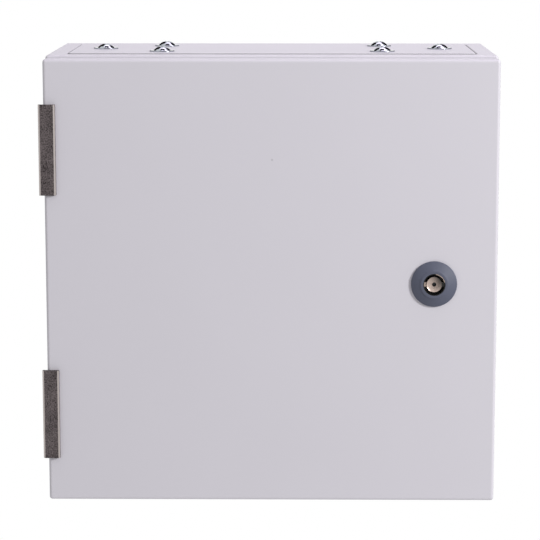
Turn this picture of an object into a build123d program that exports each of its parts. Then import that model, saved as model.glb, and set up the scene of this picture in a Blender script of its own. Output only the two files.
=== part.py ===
from build123d import *
import os
from math import sqrt

# Wall-mounted sheet-steel cabinet. The front faces -Y, the wall plane is y = 0, and the
# origin is the centre of the four wall holes. All lengths are millimetres.

# Cabinet
cabinet_width = 300.0
cabinet_height = 300.0
cabinet_depth = 150.0
sheet = 1.5
fold_radius = 2.0
cut_overrun = 5.0

# Door tray
door_sheet = 1.5
door_flange = 15.0
door_gap = 2.5
door_end_inset = 1.5
door_fold_radius = 2.0

# Rain gutter, sealing lip and door gasket
gutter_width = 13.0
lip_corner_radius = 8.0
gasket_width = 12.0
gasket_thickness = 5.0
gasket_bevel = 1.5
gasket_lip_gap = 0.3

# Wall holes
wall_hole_inset = 20.0
wall_hole_radius = 4.25

# Gland plate in the top
gland_sheet = 1.5
gland_corner_radius = 2.0
gland_side_margin = 14.0
gland_front_margin = 14.5
gland_back_margin = 18.0
gland_raise = 0.4
gland_edge_gap = 1.0
gland_ledge = 28.0
gland_opening_radius = 6.0
gland_gasket_thickness = 1.0
gland_gasket_inset = 1.0
recess_rim_bevel = 0.8

# Gland screws
gland_screw_inset = 21.0
gland_pair_inset = 61.5
gland_screw_radius = 2.95
gland_screw_length = 14.0
gland_head_radius = 5.7
gland_head_height = 3.7
cross_span = 6.4
cross_width = 1.3
cross_depth = 2.0
gland_washer_radius = 8.5
gland_washer_thickness = 0.8
clinch_nut_radius = 5.0
clinch_nut_height = 5.0
thread_clearance = 0.05
hole_clearance = 0.25

# Mounting plate behind the door
plate_margin = 25.0
plate_sheet = 2.0
plate_corner_radius = 4.0
plate_stud_inset = 13.0
plate_standoff = 18.0
plate_stud_radius = 2.95
plate_stud_spare = 3.0
spacer_radius = 6.0
plate_nut_flats = 10.0
plate_nut_height = 5.0
nut_flange_radius = 7.0
nut_flange_height = 1.2

# Earth studs
earth_stud_radius = 2.95
earth_stud_length = 15.0
earth_nut_flats = 10.0
earth_nut_height = 5.0
body_earth_side_inset = 40.0
body_earth_back_inset = 60.0
door_earth_side_inset = 50.0
door_earth_base_inset = 38.0

# Hinges
hinge_length = 60.0
hinge_end_margin = 31.0
leaf_thickness = 2.4
bar_overhang = 3.1
bar_lap = 8.0
bar_thickness = 3.0
bar_chamfer_width = 1.2
bar_chamfer_height = 0.9
bar_end_reach = 5.0
body_leaf_reach = 29.0
knuckle_radius = 2.5
knuckle_side_gap = 0.2
knuckle_end_gap = 0.2
knuckle_sweep_gap = 0.45
middle_knuckle_length = 24.0
pin_radius = 1.5
pin_clearance = 0.05
pin_head_radius = 2.1
pin_head_height = 0.8
hinge_stud_spacing = 36.0
hinge_stud_radius = 2.0
hinge_stud_spare = 1.0
hinge_nut_flats = 7.0
hinge_nut_height = 3.2
body_stud_setback = 21.0

# Lock
lock_inset = 42.0
bezel_radius = 15.2
bezel_height = 4.2
bezel_edge = 1.0
bezel_lip_radius = 9.4
bezel_bevel = 0.4
barrel_radius = 11.0
barrel_flat = 10.0
lock_fit = 0.05
lock_hole_clearance = 0.2
seal_inner_radius = 12.1
seal_outer_radius = 13.9
seal_thickness = 1.0
seal_side_gap = 0.1
lock_nut_flats = 27.0
lock_nut_height = 5.0
insert_radius = 7.3
insert_inset = 1.6
key_depth = 7.0
key_wall_inset = 2.5
key_outer_radius = 6.7
key_post_radius = 5.25
key_bit_width = 3.0
key_bit_inset = 0.5
key_centre_radius = 1.4
key_centre_depth = 3.0
post_chamfer = 0.5
shoulder_wall = 4.4
shaft_radius = 5.45
shaft_square = 7.5
spindle_end_gap = 0.3
square_shortfall = 0.2
cam_gutter_gap = 0.5
cam_thickness = 3.0
cam_width = 18.0
cam_length = 35.0
cam_washer_radius = 6.0
cam_washer_thickness = 1.2
cam_bolt_radius = 2.45
cam_bolt_length = 10.0
cam_bolt_flats = 8.0
cam_bolt_head = 3.5

# Rise of a hexagon's corner bevel, as a share of its width
bevel_slope_share = 0.58

# Places that follow from the sizes
half_width = cabinet_width / 2
half_height = cabinet_height / 2
door_front_y = -cabinet_depth
door_inside_y = door_front_y + door_sheet
door_rear_y = door_front_y + door_flange
step_y = door_rear_y + door_gap
gasket_rear_y = door_inside_y + gasket_thickness
lip_front_y = gasket_rear_y + gasket_lip_gap
lip_half_width = half_width - gutter_width
lip_half_height = half_height - gutter_width
gland_width = cabinet_width - 2 * gland_side_margin
gland_depth = -step_y - gland_front_margin - gland_back_margin
gland_top_z = half_height + gland_raise
gland_bottom_z = gland_top_z - gland_sheet
recess_floor_z = gland_bottom_z - gland_gasket_thickness
ledge_bottom_z = recess_floor_z - sheet
gland_centre_y = -gland_back_margin - gland_depth / 2
plate_width = cabinet_width - 2 * plate_margin
plate_height = cabinet_height - 2 * plate_margin
plate_back_y = -sheet - plate_standoff
plate_front_y = plate_back_y - plate_sheet
hinge_axis_x = -half_width - knuckle_radius - knuckle_side_gap
hinge_axis_y = (door_rear_y + step_y) / 2
hinge_centre_z = half_height - hinge_end_margin - hinge_length / 2
knuckle_end_z = hinge_length / 2 - bar_end_reach
leaf_outer_x = -half_width - leaf_thickness
leaf_sweep = knuckle_radius + knuckle_sweep_gap
lock_x = half_width - lock_inset
cam_front_y = step_y + sheet + cam_gutter_gap
cam_rear_y = cam_front_y + cam_thickness
housing_rear_y = cam_front_y - spindle_end_gap
shoulder_y = housing_rear_y - shoulder_wall
bezel_face_y = door_front_y - bezel_height

OUT = "parts"


def prism(outline, y_front, y_back):
    """Solid of an outline drawn in X and Z, between two depths."""
    return extrude(Plane.XZ.offset(-y_back) * outline, amount=y_back - y_front)


def slab(outline, z_low, z_high):
    """Solid of an outline drawn in X and Y, between two heights."""
    return extrude(Plane.XY.offset(z_low) * outline, amount=z_high - z_low)


def across(outline, x_left, x_right):
    """Solid of an outline drawn in Y and Z, between two sides."""
    return extrude(Plane.YZ.offset(x_left) * outline, amount=x_right - x_left)


def turned(points):
    """Solid turned about the Y axis from a closed outline of (radius, y) points."""
    return revolve(make_face(Polyline(*points, close=True)), axis=Axis.Y)


def corners(half_x, half_z):
    """The four places of a rectangular pattern, as (x, z)."""
    return [(sx * half_x, sz * half_z) for sx in (-1, 1) for sz in (-1, 1)]


def hex_body(flats, height):
    """Hexagon standing on the XY plane, the corners of its upper end bevelled."""
    corner_radius = flats / sqrt(3)
    bevel = (corner_radius - flats / 2) * bevel_slope_share
    limit = Polyline(
        (0, 0),
        (corner_radius, 0),
        (corner_radius, height - bevel),
        (flats / 2, height),
        (0, height),
        close=True,
    )
    body = slab(RegularPolygon(flats / 2, 6, major_radius=False), 0, height)
    return body & revolve(Plane.XZ * make_face(limit), axis=Axis.Z)


def hex_nut(flats, height, bore_radius):
    """Hexagon nut standing on the XY plane, with a plain bore."""
    return hex_body(flats, height) - slab(Circle(bore_radius), 0, height)


def gland_screw_places():
    """The six screw places on the gland plate, as (x, y)."""
    end_x = gland_width / 2 - gland_screw_inset
    row_y = gland_depth / 2 - gland_screw_inset
    ends = [(side * end_x, gland_centre_y) for side in (-1, 1)]
    pairs = corners(gland_width / 2 - gland_pair_inset, row_y)
    return ends + [(x, gland_centre_y + y) for x, y in pairs]


def gland_outline(margin, radius):
    """Outline of the gland plate in X and Y, grown by a margin."""
    outline = RectangleRounded(gland_width + 2 * margin, gland_depth + 2 * margin, radius)
    return Pos(0, gland_centre_y) * outline


def gland_opening():
    """Outline of the cable opening under the gland plate."""
    width = gland_width - 2 * gland_ledge
    depth = gland_depth - 2 * gland_ledge
    return Pos(0, gland_centre_y) * RectangleRounded(width, depth, gland_opening_radius)


def gland_holes(radius):
    """Circles at the six gland screws."""
    return Sketch() + [Pos(x, y) * Circle(radius) for x, y in gland_screw_places()]


def lip_outline(inward):
    """Outline of the sealing lip in X and Z, moved inwards by a distance."""
    width = 2 * (lip_half_width - inward)
    height = 2 * (lip_half_height - inward)
    return RectangleRounded(width, height, lip_corner_radius - inward)


def body_block(inset):
    """Block of the cabinet body and neck of the sealing lip in front of it, both shrunk by an inset."""
    outline = Rectangle(cabinet_width - 2 * inset, cabinet_height - 2 * inset)
    block = prism(outline, step_y + inset, -inset)
    neck = prism(lip_outline(inset), lip_front_y - inset, step_y + 2 * sheet)
    return block, neck


def pressed_recess(grow, depth_z):
    """Block that presses the gland recess into the top."""
    outline = gland_outline(gland_edge_gap + grow, gland_corner_radius + gland_edge_gap + grow)
    return slab(outline, depth_z, half_height + cut_overrun)


def recess_rim(block):
    """Edges where the gland recess meets the top."""
    reach_x = gland_width / 2 + gland_edge_gap + hole_clearance
    reach_y = gland_depth / 2 + gland_edge_gap + hole_clearance
    rim = block.edges().filter_by_position(Axis.Z, half_height, half_height)
    rim = rim.filter_by(lambda edge: abs(edge.center().X) < reach_x)
    return rim.filter_by(lambda edge: abs(edge.center().Y - gland_centre_y) < reach_y)


def neck_root(block):
    """Edges where the inside of the neck meets the back of the gutter."""
    root = block.edges().filter_by_position(Axis.Y, step_y + sheet, step_y + sheet)
    root = root.filter_by(lambda edge: abs(edge.center().X) < lip_half_width)
    return root.filter_by(lambda edge: abs(edge.center().Z) < lip_half_height)


def enclosure_shell():
    """Folded sheet box with gutter, lip, gland recess and every hole in it."""
    block, neck = body_block(0)
    outside = fillet(block.edges(), fold_radius) + neck - pressed_recess(0, recess_floor_z)
    outside = chamfer(recess_rim(outside), recess_rim_bevel)
    block, neck = body_block(sheet)
    inside = block + neck
    inside = fillet(neck_root(inside), fold_radius) - pressed_recess(sheet, ledge_bottom_z)
    shell = outside - inside
    shell -= slab(gland_opening(), ledge_bottom_z - cut_overrun, half_height)
    shell -= slab(gland_holes(gland_screw_radius + hole_clearance), ledge_bottom_z, half_height)
    for x, z in corners(half_width - wall_hole_inset, half_height - wall_hole_inset):
        shell -= prism(Pos(x, z) * Circle(wall_hole_radius), -sheet, 0)
    for z in hinge_stud_heights():
        hole = Pos(step_y + body_stud_setback, z) * Circle(hinge_stud_radius + hole_clearance)
        shell -= across(hole, -half_width, sheet - half_width)
    return shell


def gland_plate():
    """Flat cover of the cable opening."""
    plate = slab(gland_outline(0, gland_corner_radius), gland_bottom_z, gland_top_z)
    return plate - slab(gland_holes(gland_screw_radius + hole_clearance), gland_bottom_z, gland_top_z)


def gland_gasket():
    """Flat seal between the gland plate and its ledge."""
    outline = gland_outline(-gland_gasket_inset, gland_corner_radius) - gland_opening()
    outline -= gland_holes(gland_screw_radius + hole_clearance)
    return slab(outline, recess_floor_z, gland_bottom_z)


def gland_screw():
    """Dome-head screw standing on z = 0, with a cross recess."""
    edge = (gland_head_radius, 0)
    crown = (0, gland_head_height)
    arc = TangentArc(crown, edge, tangent=(1, 0))
    profile = make_face([Line((0, 0), crown), arc, Line(edge, (0, 0))])
    head = revolve(Plane.XZ * profile, axis=Axis.Z)
    cross = Rectangle(cross_span, cross_width) + Rectangle(cross_width, cross_span)
    head -= slab(cross, gland_head_height - cross_depth, gland_head_height)
    return head + slab(Circle(gland_screw_radius), -gland_screw_length, 0)


def gland_hardware():
    """The six screws, washers and clinch nuts of the gland plate, as three groups."""
    ring = Circle(gland_washer_radius) - Circle(gland_screw_radius + hole_clearance)
    washer = slab(ring, gland_top_z, gland_top_z + gland_washer_thickness)
    socket = Circle(clinch_nut_radius) - Circle(gland_screw_radius + thread_clearance)
    nut = slab(socket, ledge_bottom_z - clinch_nut_height, ledge_bottom_z)
    screw = Pos(0, 0, gland_top_z + gland_washer_thickness) * gland_screw()
    places = gland_screw_places()
    return [Compound([Pos(x, y, 0) * piece for x, y in places]) for piece in (screw, washer, nut)]


def mounting_places():
    """The four stud places of the mounting plate, as (x, z)."""
    return corners(plate_width / 2 - plate_stud_inset, plate_height / 2 - plate_stud_inset)


def mounting_plate():
    """Flat plate that carries the equipment inside."""
    outline = RectangleRounded(plate_width, plate_height, plate_corner_radius)
    outline -= [Pos(x, z) * Circle(plate_stud_radius + hole_clearance) for x, z in mounting_places()]
    return prism(outline, plate_front_y, plate_back_y)


def flange_nut(flats, height, bore_radius):
    """Hexagon nut with a flange at its foot, standing on the XY plane."""
    flange = slab(Circle(nut_flange_radius) - Circle(bore_radius), 0, nut_flange_height)
    return flange + hex_nut(flats, height, bore_radius)


def mounting_hardware():
    """The weld studs, spacer sleeves and flange nuts of the mounting plate, as three groups."""
    stud_end_y = plate_front_y - plate_nut_height - plate_stud_spare
    stud = prism(Circle(plate_stud_radius), stud_end_y, -sheet)
    sleeve = Circle(spacer_radius) - Circle(plate_stud_radius + hole_clearance)
    spacer = prism(sleeve, plate_back_y, -sheet)
    nut = flange_nut(plate_nut_flats, plate_nut_height, plate_stud_radius + thread_clearance)
    nut = Pos(0, plate_front_y, 0) * Rot(X=90) * nut
    places = mounting_places()
    return [Compound([Pos(x, 0, z) * piece for x, z in places]) for piece in (stud, spacer, nut)]


def earth_stud():
    """Weld stud standing on the XY plane."""
    return slab(Circle(earth_stud_radius), 0, earth_stud_length)


def earth_nut():
    """Flange nut on the earth stud."""
    return flange_nut(earth_nut_flats, earth_nut_height, earth_stud_radius + thread_clearance)


def hinge_heights():
    """Centre heights of the upper and the lower hinge."""
    return {"upper": hinge_centre_z, "lower": -hinge_centre_z}


def hinge_stud_heights():
    """Heights of the four studs of the two hinges."""
    shift = hinge_stud_spacing / 2
    return [z + side * shift for z in hinge_heights().values() for side in (-1, 1)]


def knuckle_spans(on_door):
    """Height ranges of a leaf's knuckles about the hinge's middle."""
    middle = middle_knuckle_length / 2
    if on_door:
        upper = (middle + knuckle_end_gap, knuckle_end_z)
        return [upper, (-upper[1], -upper[0])]
    return [(-middle, middle)]


def with_knuckles(leaf, leaf_edge_y, on_door):
    """Leaf joined to its knuckles, bored for the pin."""
    y_low, y_high = sorted((leaf_edge_y, hinge_axis_y))
    strap_centre = ((leaf_outer_x - half_width) / 2, (y_low + y_high) / 2)
    barrel = Pos(hinge_axis_x, hinge_axis_y) * Circle(knuckle_radius)
    barrel += Pos(*strap_centre) * Rectangle(leaf_thickness, y_high - y_low)
    bore = Pos(hinge_axis_x, hinge_axis_y) * Circle(pin_radius + pin_clearance)
    for z_low, z_high in knuckle_spans(on_door):
        leaf = leaf + slab(barrel, z_low, z_high)
    return leaf - slab(bore, -knuckle_end_z, knuckle_end_z)


def hinge_studs(y, grip):
    """The two studs of a leaf, which pass through a wall and its nut."""
    stud_end_x = grip + hinge_nut_height + hinge_stud_spare - half_width
    shift = hinge_stud_spacing / 2
    outline = [Pos(y, side * shift) * Circle(hinge_stud_radius) for side in (-1, 1)]
    return across(Sketch() + outline, -half_width, stud_end_x)


def hinge_door_leaf():
    """Bevelled bar on the door's face, with a leg round the door's edge to two knuckles."""
    bar_left = -half_width - bar_overhang
    bar_right = -half_width + bar_lap
    bar_front = door_front_y - bar_thickness
    bevel_y = bar_front + bar_chamfer_height
    leg_rear_y = hinge_axis_y - leaf_sweep
    outline = Polyline(
        (bar_right, door_front_y),
        (bar_right, bevel_y),
        (bar_right - bar_chamfer_width, bar_front),
        (bar_left + bar_chamfer_width, bar_front),
        (bar_left, bevel_y),
        (bar_left, door_front_y),
        close=True,
    )
    leaf = slab(make_face(outline), -hinge_length / 2, hinge_length / 2)
    leg_centre = ((leaf_outer_x - half_width) / 2, (door_front_y + leg_rear_y) / 2)
    leg = Pos(*leg_centre) * Rectangle(leaf_thickness, leg_rear_y - door_front_y)
    leaf = with_knuckles(leaf + slab(leg, -knuckle_end_z, knuckle_end_z), leg_rear_y, True)
    return leaf + hinge_studs(door_front_y + door_flange / 2, door_sheet)


def hinge_body_leaf():
    """Flat leaf on the cabinet's side with the middle knuckle."""
    leaf_front_y = hinge_axis_y + leaf_sweep
    leaf_rear_y = hinge_axis_y + body_leaf_reach
    centre = ((leaf_outer_x - half_width) / 2, (leaf_front_y + leaf_rear_y) / 2)
    outline = Pos(*centre) * Rectangle(leaf_thickness, leaf_rear_y - leaf_front_y)
    leaf = slab(outline, -knuckle_end_z, knuckle_end_z)
    leaf = with_knuckles(leaf, leaf_front_y, False)
    return leaf + hinge_studs(step_y + body_stud_setback, sheet)


def hinge_pin():
    """Pin with a rivet head at each end."""
    reach = knuckle_end_z + knuckle_end_gap
    pin = slab(Circle(pin_radius), -reach, reach)
    pin += slab(Circle(pin_head_radius), reach, reach + pin_head_height)
    pin += slab(Circle(pin_head_radius), -reach - pin_head_height, -reach)
    return Pos(hinge_axis_x, hinge_axis_y, 0) * pin


def hinge_nuts(y, grip):
    """The four nuts that hold two leaves, inside a wall."""
    nut = hex_nut(hinge_nut_flats, hinge_nut_height, hinge_stud_radius + thread_clearance)
    nut = Rot(Y=90) * nut
    return Compound([Pos(grip - half_width, y, z) * nut for z in hinge_stud_heights()])


def barrel_outline(clearance):
    """Round with two flats, in X and Z: the lock barrel, or its hole in the door."""
    flats = Rectangle(2 * (barrel_radius + clearance), 2 * (barrel_flat + clearance))
    return Circle(barrel_radius + clearance) & flats


def door_panel():
    """Folded door tray, open to the back."""
    door_height = cabinet_height - 2 * door_end_inset
    tray = prism(Rectangle(cabinet_width, door_height), door_front_y, door_rear_y)
    tray = fillet(tray.edges().filter_by(Axis.Y) + tray.faces().sort_by(Axis.Y)[0].edges(), door_fold_radius)
    inner_width = cabinet_width - 2 * door_sheet
    inner_height = door_height - 2 * door_sheet
    hollow = prism(Rectangle(inner_width, inner_height), door_inside_y, door_rear_y + cut_overrun)
    tray -= hollow
    tray -= Pos(lock_x, 0, 0) * prism(barrel_outline(lock_hole_clearance), door_front_y, door_inside_y)
    for z in hinge_stud_heights():
        hole = Pos(door_front_y + door_flange / 2, z) * Circle(hinge_stud_radius + hole_clearance)
        tray -= across(hole, -half_width, door_sheet - half_width)
    return tray


def door_gasket():
    """Foam ring on the inside of the door, over the sealing lip."""
    spread = (gasket_width - sheet) / 2
    ring = prism(lip_outline(-spread) - lip_outline(gasket_width - spread), door_inside_y, gasket_rear_y)
    return chamfer(ring.faces().sort_by(Axis.Y)[-1].edges(), gasket_bevel)


def lock_housing():
    """Barrel through the door with a conical bezel in front of it."""
    bore = insert_radius + lock_fit
    rim_y = door_front_y - bezel_edge
    bezel = turned([
        (0, door_front_y),
        (bezel_radius, door_front_y),
        (bezel_radius, rim_y + bezel_bevel),
        (bezel_radius - bezel_bevel, rim_y),
        (bezel_lip_radius, bezel_face_y + bezel_bevel),
        (bezel_lip_radius - bezel_bevel, bezel_face_y),
        (0, bezel_face_y),
    ])
    housing = bezel + prism(barrel_outline(0), door_front_y, housing_rear_y)
    housing -= prism(Circle(bore), bezel_face_y, shoulder_y)
    housing -= prism(Circle(shaft_radius + lock_fit), shoulder_y, housing_rear_y)
    groove = Circle(seal_outer_radius + seal_side_gap) - Circle(seal_inner_radius - seal_side_gap)
    return housing - prism(groove, door_front_y - seal_thickness, door_front_y)


def lock_seal():
    """Rubber ring between the bezel and the door."""
    ring = Circle(seal_outer_radius) - Circle(seal_inner_radius)
    return prism(ring, door_front_y - seal_thickness, door_front_y)


def lock_nut():
    """Large hexagon nut that clamps the lock from inside the door."""
    nut = hex_nut(lock_nut_flats, lock_nut_height, barrel_radius + lock_fit)
    return Pos(0, door_inside_y, 0) * Rot(X=-90) * nut


def lock_insert():
    """Turning insert: a cup with a post and two bits for the key, and a squared shaft."""
    post_y = bezel_face_y + insert_inset
    wall_y = post_y + key_wall_inset
    floor_y = post_y + key_depth
    cup_rear_y = shoulder_y - lock_fit
    cup = prism(Circle(insert_radius), wall_y, cup_rear_y)
    cup -= prism(Circle(key_outer_radius), wall_y, floor_y)
    post = prism(Circle(key_post_radius), post_y, floor_y)
    post = chamfer(post.faces().sort_by(Axis.Y)[0].edges(), post_chamfer)
    bits = Rectangle(2 * insert_radius, key_bit_width) & Circle(insert_radius)
    post += prism(bits, post_y + key_bit_inset, floor_y)
    post -= prism(Circle(key_centre_radius), post_y, post_y + key_centre_depth)
    square_end_y = cam_rear_y - square_shortfall
    shaft = prism(Circle(shaft_radius), cup_rear_y, cam_front_y)
    shaft += prism(Rectangle(shaft_square, shaft_square), cam_front_y, square_end_y)
    insert = cup + post + shaft
    bolt_hole = Circle(cam_bolt_radius + thread_clearance)
    return insert - prism(bolt_hole, cam_rear_y + cam_washer_thickness - cam_bolt_length, square_end_y)


def lock_cam():
    """Flat tongue on the insert's square, hanging down when the door is free."""
    reach = cam_length - cam_width / 2
    tongue = SlotCenterPoint((0, -reach / 2), (0, 0), cam_width)
    square = shaft_square + 2 * lock_fit
    return prism(tongue - Rectangle(square, square), cam_front_y, cam_rear_y)


def cam_washer():
    """Washer between the cam and its bolt."""
    ring = Circle(cam_washer_radius) - Circle(cam_bolt_radius + hole_clearance)
    return prism(ring, cam_rear_y, cam_rear_y + cam_washer_thickness)


def cam_bolt():
    """Hexagon bolt that holds the cam on the insert."""
    seat_y = cam_rear_y + cam_washer_thickness
    bolt = Pos(0, seat_y, 0) * Rot(X=-90) * hex_body(cam_bolt_flats, cam_bolt_head)
    return bolt + prism(Circle(cam_bolt_radius), seat_y - cam_bolt_length, seat_y)


def cabinet_nodes():
    """Pieces of the fixed cabinet, by node name."""
    screws, washers, clinch_nuts = gland_hardware()
    studs, spacers, nuts = mounting_hardware()
    earth_x = body_earth_side_inset - half_width
    earth_place = Pos(earth_x, -body_earth_back_inset, sheet - half_height)
    nodes = {
        "enclosure_shell": enclosure_shell(),
        "gland_plate": gland_plate(),
        "gland_gasket": gland_gasket(),
        "gland_screws": screws,
        "gland_washers": washers,
        "gland_clinch_nuts": clinch_nuts,
        "mounting_plate": mounting_plate(),
        "mounting_studs": studs,
        "mounting_spacers": spacers,
        "mounting_nuts": nuts,
        "body_earth_stud": earth_place * earth_stud(),
        "body_earth_nut": earth_place * earth_nut(),
        "hinge_body_nuts": hinge_nuts(step_y + body_stud_setback, sheet),
    }
    for name, z in hinge_heights().items():
        nodes[name + "_hinge_body_leaf"] = Pos(0, 0, z) * hinge_body_leaf()
        nodes[name + "_hinge_pin"] = Pos(0, 0, z) * hinge_pin()
    return nodes


def door_nodes():
    """Pieces that swing with the door, by node name."""
    at_lock = Pos(lock_x, 0, 0)
    earth_x = door_earth_side_inset - half_width
    earth_z = door_earth_base_inset - half_height
    earth_place = Pos(earth_x, door_inside_y, earth_z) * Rot(X=-90)
    nodes = {
        "door_panel": door_panel(),
        "door_gasket": door_gasket(),
        "hinge_door_nuts": hinge_nuts(door_front_y + door_flange / 2, door_sheet),
        "door_earth_stud": earth_place * earth_stud(),
        "door_earth_nut": earth_place * earth_nut(),
        "lock_housing": at_lock * lock_housing(),
        "lock_seal": at_lock * lock_seal(),
        "lock_nut": at_lock * lock_nut(),
    }
    for name, z in hinge_heights().items():
        nodes[name + "_hinge_door_leaf"] = Pos(0, 0, z) * hinge_door_leaf()
    return nodes


def spindle_nodes():
    """Pieces that turn with the key, by node name."""
    at_lock = Pos(lock_x, 0, 0)
    return {
        "lock_insert": at_lock * lock_insert(),
        "lock_cam": at_lock * lock_cam(),
        "cam_washer": at_lock * cam_washer(),
        "cam_bolt": at_lock * cam_bolt(),
    }


os.makedirs(OUT, exist_ok=True)
for node, shape in {**cabinet_nodes(), **door_nodes(), **spindle_nodes()}.items():
    export_step(shape, OUT + "/" + node + ".step")
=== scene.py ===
"""Looks of a wall-mounted sheet-steel cabinet: finishes, fasteners, seals, light and camera.

Lengths are metres in the part's own frame: the front faces -Y, +Z is up, and the wall is y = 0.
"""

import logging
import math
from collections.abc import Callable
from dataclasses import dataclass, field
from enum import Enum
from functools import partial
from typing import Any, ClassVar

import bmesh
import bpy
from bpy.types import ID, Material, Mesh, Node, NodeSocket, NodeTree, Object
from mathutils import Color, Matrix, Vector


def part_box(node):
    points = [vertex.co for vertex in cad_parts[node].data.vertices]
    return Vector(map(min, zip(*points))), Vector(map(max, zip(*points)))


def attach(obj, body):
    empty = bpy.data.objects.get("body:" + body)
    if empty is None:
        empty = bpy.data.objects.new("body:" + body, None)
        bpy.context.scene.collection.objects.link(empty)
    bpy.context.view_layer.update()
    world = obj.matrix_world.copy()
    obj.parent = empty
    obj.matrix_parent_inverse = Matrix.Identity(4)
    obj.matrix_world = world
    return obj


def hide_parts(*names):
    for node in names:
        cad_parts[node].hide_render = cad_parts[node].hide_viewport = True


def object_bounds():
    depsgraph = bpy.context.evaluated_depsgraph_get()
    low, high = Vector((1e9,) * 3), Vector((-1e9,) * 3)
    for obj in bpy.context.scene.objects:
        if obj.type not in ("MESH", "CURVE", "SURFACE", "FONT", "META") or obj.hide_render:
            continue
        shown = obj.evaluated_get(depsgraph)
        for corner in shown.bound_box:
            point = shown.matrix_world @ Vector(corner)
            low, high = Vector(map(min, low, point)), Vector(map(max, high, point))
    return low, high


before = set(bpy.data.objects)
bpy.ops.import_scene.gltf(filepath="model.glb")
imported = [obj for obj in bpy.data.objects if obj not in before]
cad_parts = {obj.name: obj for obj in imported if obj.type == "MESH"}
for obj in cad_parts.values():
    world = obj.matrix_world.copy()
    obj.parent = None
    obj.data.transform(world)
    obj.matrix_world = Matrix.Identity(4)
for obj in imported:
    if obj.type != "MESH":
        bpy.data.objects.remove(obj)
CAD_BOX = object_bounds()

LOG = logging.getLogger("cabinet")
MM = 0.001
TURN = 2 * math.pi
MERGE_GAP = 0.001 * MM
SHARP_ANGLE = math.radians(32)
FLAT_ANGLE = math.radians(0.5)
EDGE_SEGMENTS = 2
FULL_BYTE = 255
WHITE = "#FFFFFF"
MATH = "ShaderNodeMath"
NOISE = "ShaderNodeTexNoise"
MAP = "ShaderNodeMapRange"
MIX = "ShaderNodeMix"
# A mix node's sockets share their names between its kinds, so those of a colour mix go by number.
FACTOR, COLOUR_A, COLOUR_B, COLOUR_OUT = 0, 6, 7, 2

AddNode = Callable[..., Node]


class Body(Enum):
    """Bodies that the pieces ride on."""

    CABINET = "cabinet"
    DOOR = "door"
    SPINDLE = "lock_spindle"


class Slot(Enum):
    """Material slots of the record."""

    POWDER_COAT = "powder_coat"
    ZINC_PLATE = "zinc_plate"
    HINGE_METAL = "hinge_metal"
    GALVANISED = "galvanised"
    LOCK_PLASTIC = "lock_plastic"
    NICKEL = "nickel"
    FOAM_SEAL = "foam_seal"
    RUBBER_SEAL = "rubber_seal"


class Stand(Enum):
    """Turns that stand a shape made along +Z on a wall of the cabinet."""

    UP = (0.0, 0.0, 0.0)
    FORWARD = (TURN / 4, 0.0, 0.0)
    BACKWARD = (-TURN / 4, 0.0, 0.0)
    RIGHT = (0.0, TURN / 4, 0.0)


def linear(hex_colour: str) -> tuple[float, float, float, float]:
    """Turn an sRGB hex colour such as "#CCC9D1" into linear red, green and blue with an alpha of 1."""
    shares = [part / FULL_BYTE for part in bytes.fromhex(hex_colour[1:])]
    return (*Color(shares).from_srgb_to_scene_linear(), 1.0)


def add_node(
    tree: NodeTree, kind: str, feeds: Any = (), operation: str = "", places: int = 0, **settings: Any
) -> Node:
    """Add a node with its settings, and feed its inputs.

    Args:
        tree: Tree that gets the node.
        kind: Blender's name of the node's type.
        feeds: What goes into the inputs, in a list in their order or in a dict by their names or
            numbers: a node for its first output, a socket, or a value.
        operation: What a math node works out.
        places: Places that a list of choices needs.
        settings: Other properties of the node itself.

    Returns:
        The new node.
    """
    node = tree.nodes.new(kind)
    if operation:
        node.operation = operation
    for name, value in settings.items():
        setattr(node, name, value)
    while places and len(node.index_switch_items) < places:
        node.index_switch_items.new()
    for key, value in feeds.items() if isinstance(feeds, dict) else enumerate(feeds):
        source = value.outputs[0] if isinstance(value, Node) else value
        if isinstance(source, NodeSocket):
            tree.links.new(source, node.inputs[key])
        else:
            node.inputs[key].default_value = source
    return node


def fresh_tree(owner: ID) -> AddNode:
    """Empty the node tree of a material or a world.

    Args:
        owner: The material or world.

    Returns:
        What adds a node to the tree.
    """
    owner.use_nodes = True
    owner.node_tree.nodes.clear()
    return partial(add_node, owner.node_tree)


def new_object(name: str, data: ID) -> Object:
    """Make an object and link it into the scene.

    Args:
        name: Name of the object.
        data: Its mesh, lamp or camera.

    Returns:
        The object.
    """
    made = bpy.data.objects.new(name, data)
    bpy.context.scene.collection.objects.link(made)
    return made


@dataclass(frozen=True)
class Finish:
    """A surface finish that makes its own material."""

    title: ClassVar[str]
    slot: ClassVar[Slot]

    def material(self) -> Material:
        """Give the finish's material, made on first use.

        Returns:
            The material.
        """
        made = bpy.data.materials.get(self.title)
        if made is None:
            made = bpy.data.materials.new(self.title)
            node = fresh_tree(made)
            place = node("ShaderNodeTexCoord").outputs["Object"]
            shader = node("ShaderNodeBsdfPrincipled", self.wire(node, place))
            node("ShaderNodeOutputMaterial", [shader])
        return made

    def wire(self, node: AddNode, place: NodeSocket) -> dict[str, Any]:
        """Make the patterns of the finish, and give what goes into the shader, by input."""
        raise NotImplementedError


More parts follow.
